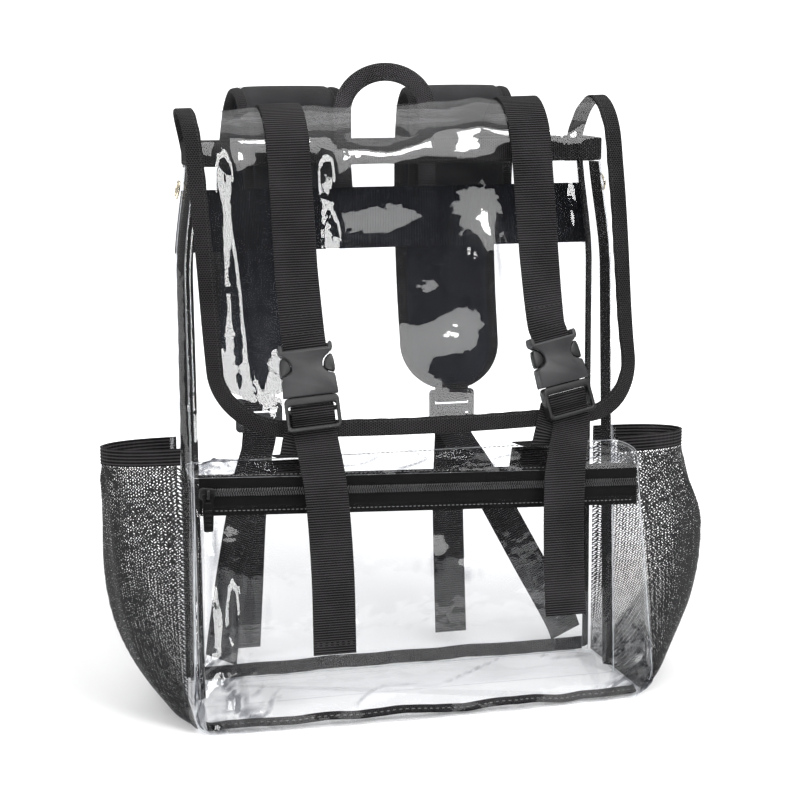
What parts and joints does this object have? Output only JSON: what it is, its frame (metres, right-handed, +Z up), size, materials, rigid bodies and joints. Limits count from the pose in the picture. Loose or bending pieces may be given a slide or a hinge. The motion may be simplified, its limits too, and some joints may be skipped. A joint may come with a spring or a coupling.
{
  "type": "backpack",
  "caption": "Clear sheet backpack with a buckled flap, zipped front pocket, mesh side pockets, carry handle and padded shoulder straps; stands on its base.",
  "frame": {"origin": "bottom centre of the bounding box, on the floor that the base stands on", "axes": "+Z up, the flap and front pocket face -Y, +X to the viewer's right"},
  "size_m": [0.4398, 0.2171, 0.446],
  "materials": {
    "clear_pvc": "clear glossy sheet",
    "webbing": "ribbed woven webbing",
    "binding": "black binding tape",
    "felt": "dark felt-like cloth",
    "padding": "padded cloth",
    "mesh": "open knitted mesh",
    "plastic": "matte dark grey",
    "zip": "woven zip tape with a coil",
    "metal": "pale plated eyelet"
  },
  "bodies": {
    "pack": {"back_panel": "clear_pvc", "front_panel": "clear_pvc", "side_panel_left": "clear_pvc", "side_panel_right": "clear_pvc", "base_panel": "clear_pvc", "pocket_front": "clear_pvc", "pocket_side_left": "clear_pvc", "pocket_side_right": "clear_pvc", "pocket_top": "clear_pvc", "flap": "clear_pvc", "flap_strap_left": "webbing", "flap_strap_right": "webbing", "lower_strap_left": "webbing", "lower_strap_right": "webbing", "handle": "webbing", "shoulder_webbing_left": "webbing", "shoulder_webbing_right": "webbing", "webbing_tail_left": "webbing", "webbing_tail_right": "webbing", "mesh_band_left": "webbing", "mesh_band_right": "webbing", "flap_binding": "binding", "rim_binding": "binding", "seam_front_left": "binding", "seam_front_right": "binding", "seam_back_left": "binding", "seam_back_right": "binding", "seam_base_back": "binding", "back_band": "felt", "shoulder_pad_left": "padding", "shoulder_pad_right": "padding", "mesh_pocket_left": "mesh", "mesh_pocket_right": "mesh", "buckle_socket_left": "plastic", "buckle_socket_right": "plastic", "buckle_plug_left": "plastic", "buckle_plug_right": "plastic", "ladder_lock_left": "plastic", "ladder_lock_right": "plastic", "zip_slider": "plastic", "zip_tape_upper": "zip", "zip_tape_lower": "zip", "zip_teeth": "zip", "eyelet_left": "metal", "eyelet_right": "metal"},
    "zip_pull": {"zip_pull": "zip"}
  },
  "joints": [
    {"name": "zip_pull_swing", "type": "hinge", "parent": "pack", "child": "zip_pull", "pos_m": [-0.15452, -0.08086, 0.16302], "axis": [-1, 0, 0], "range_deg": [0, 150]}
  ]
}
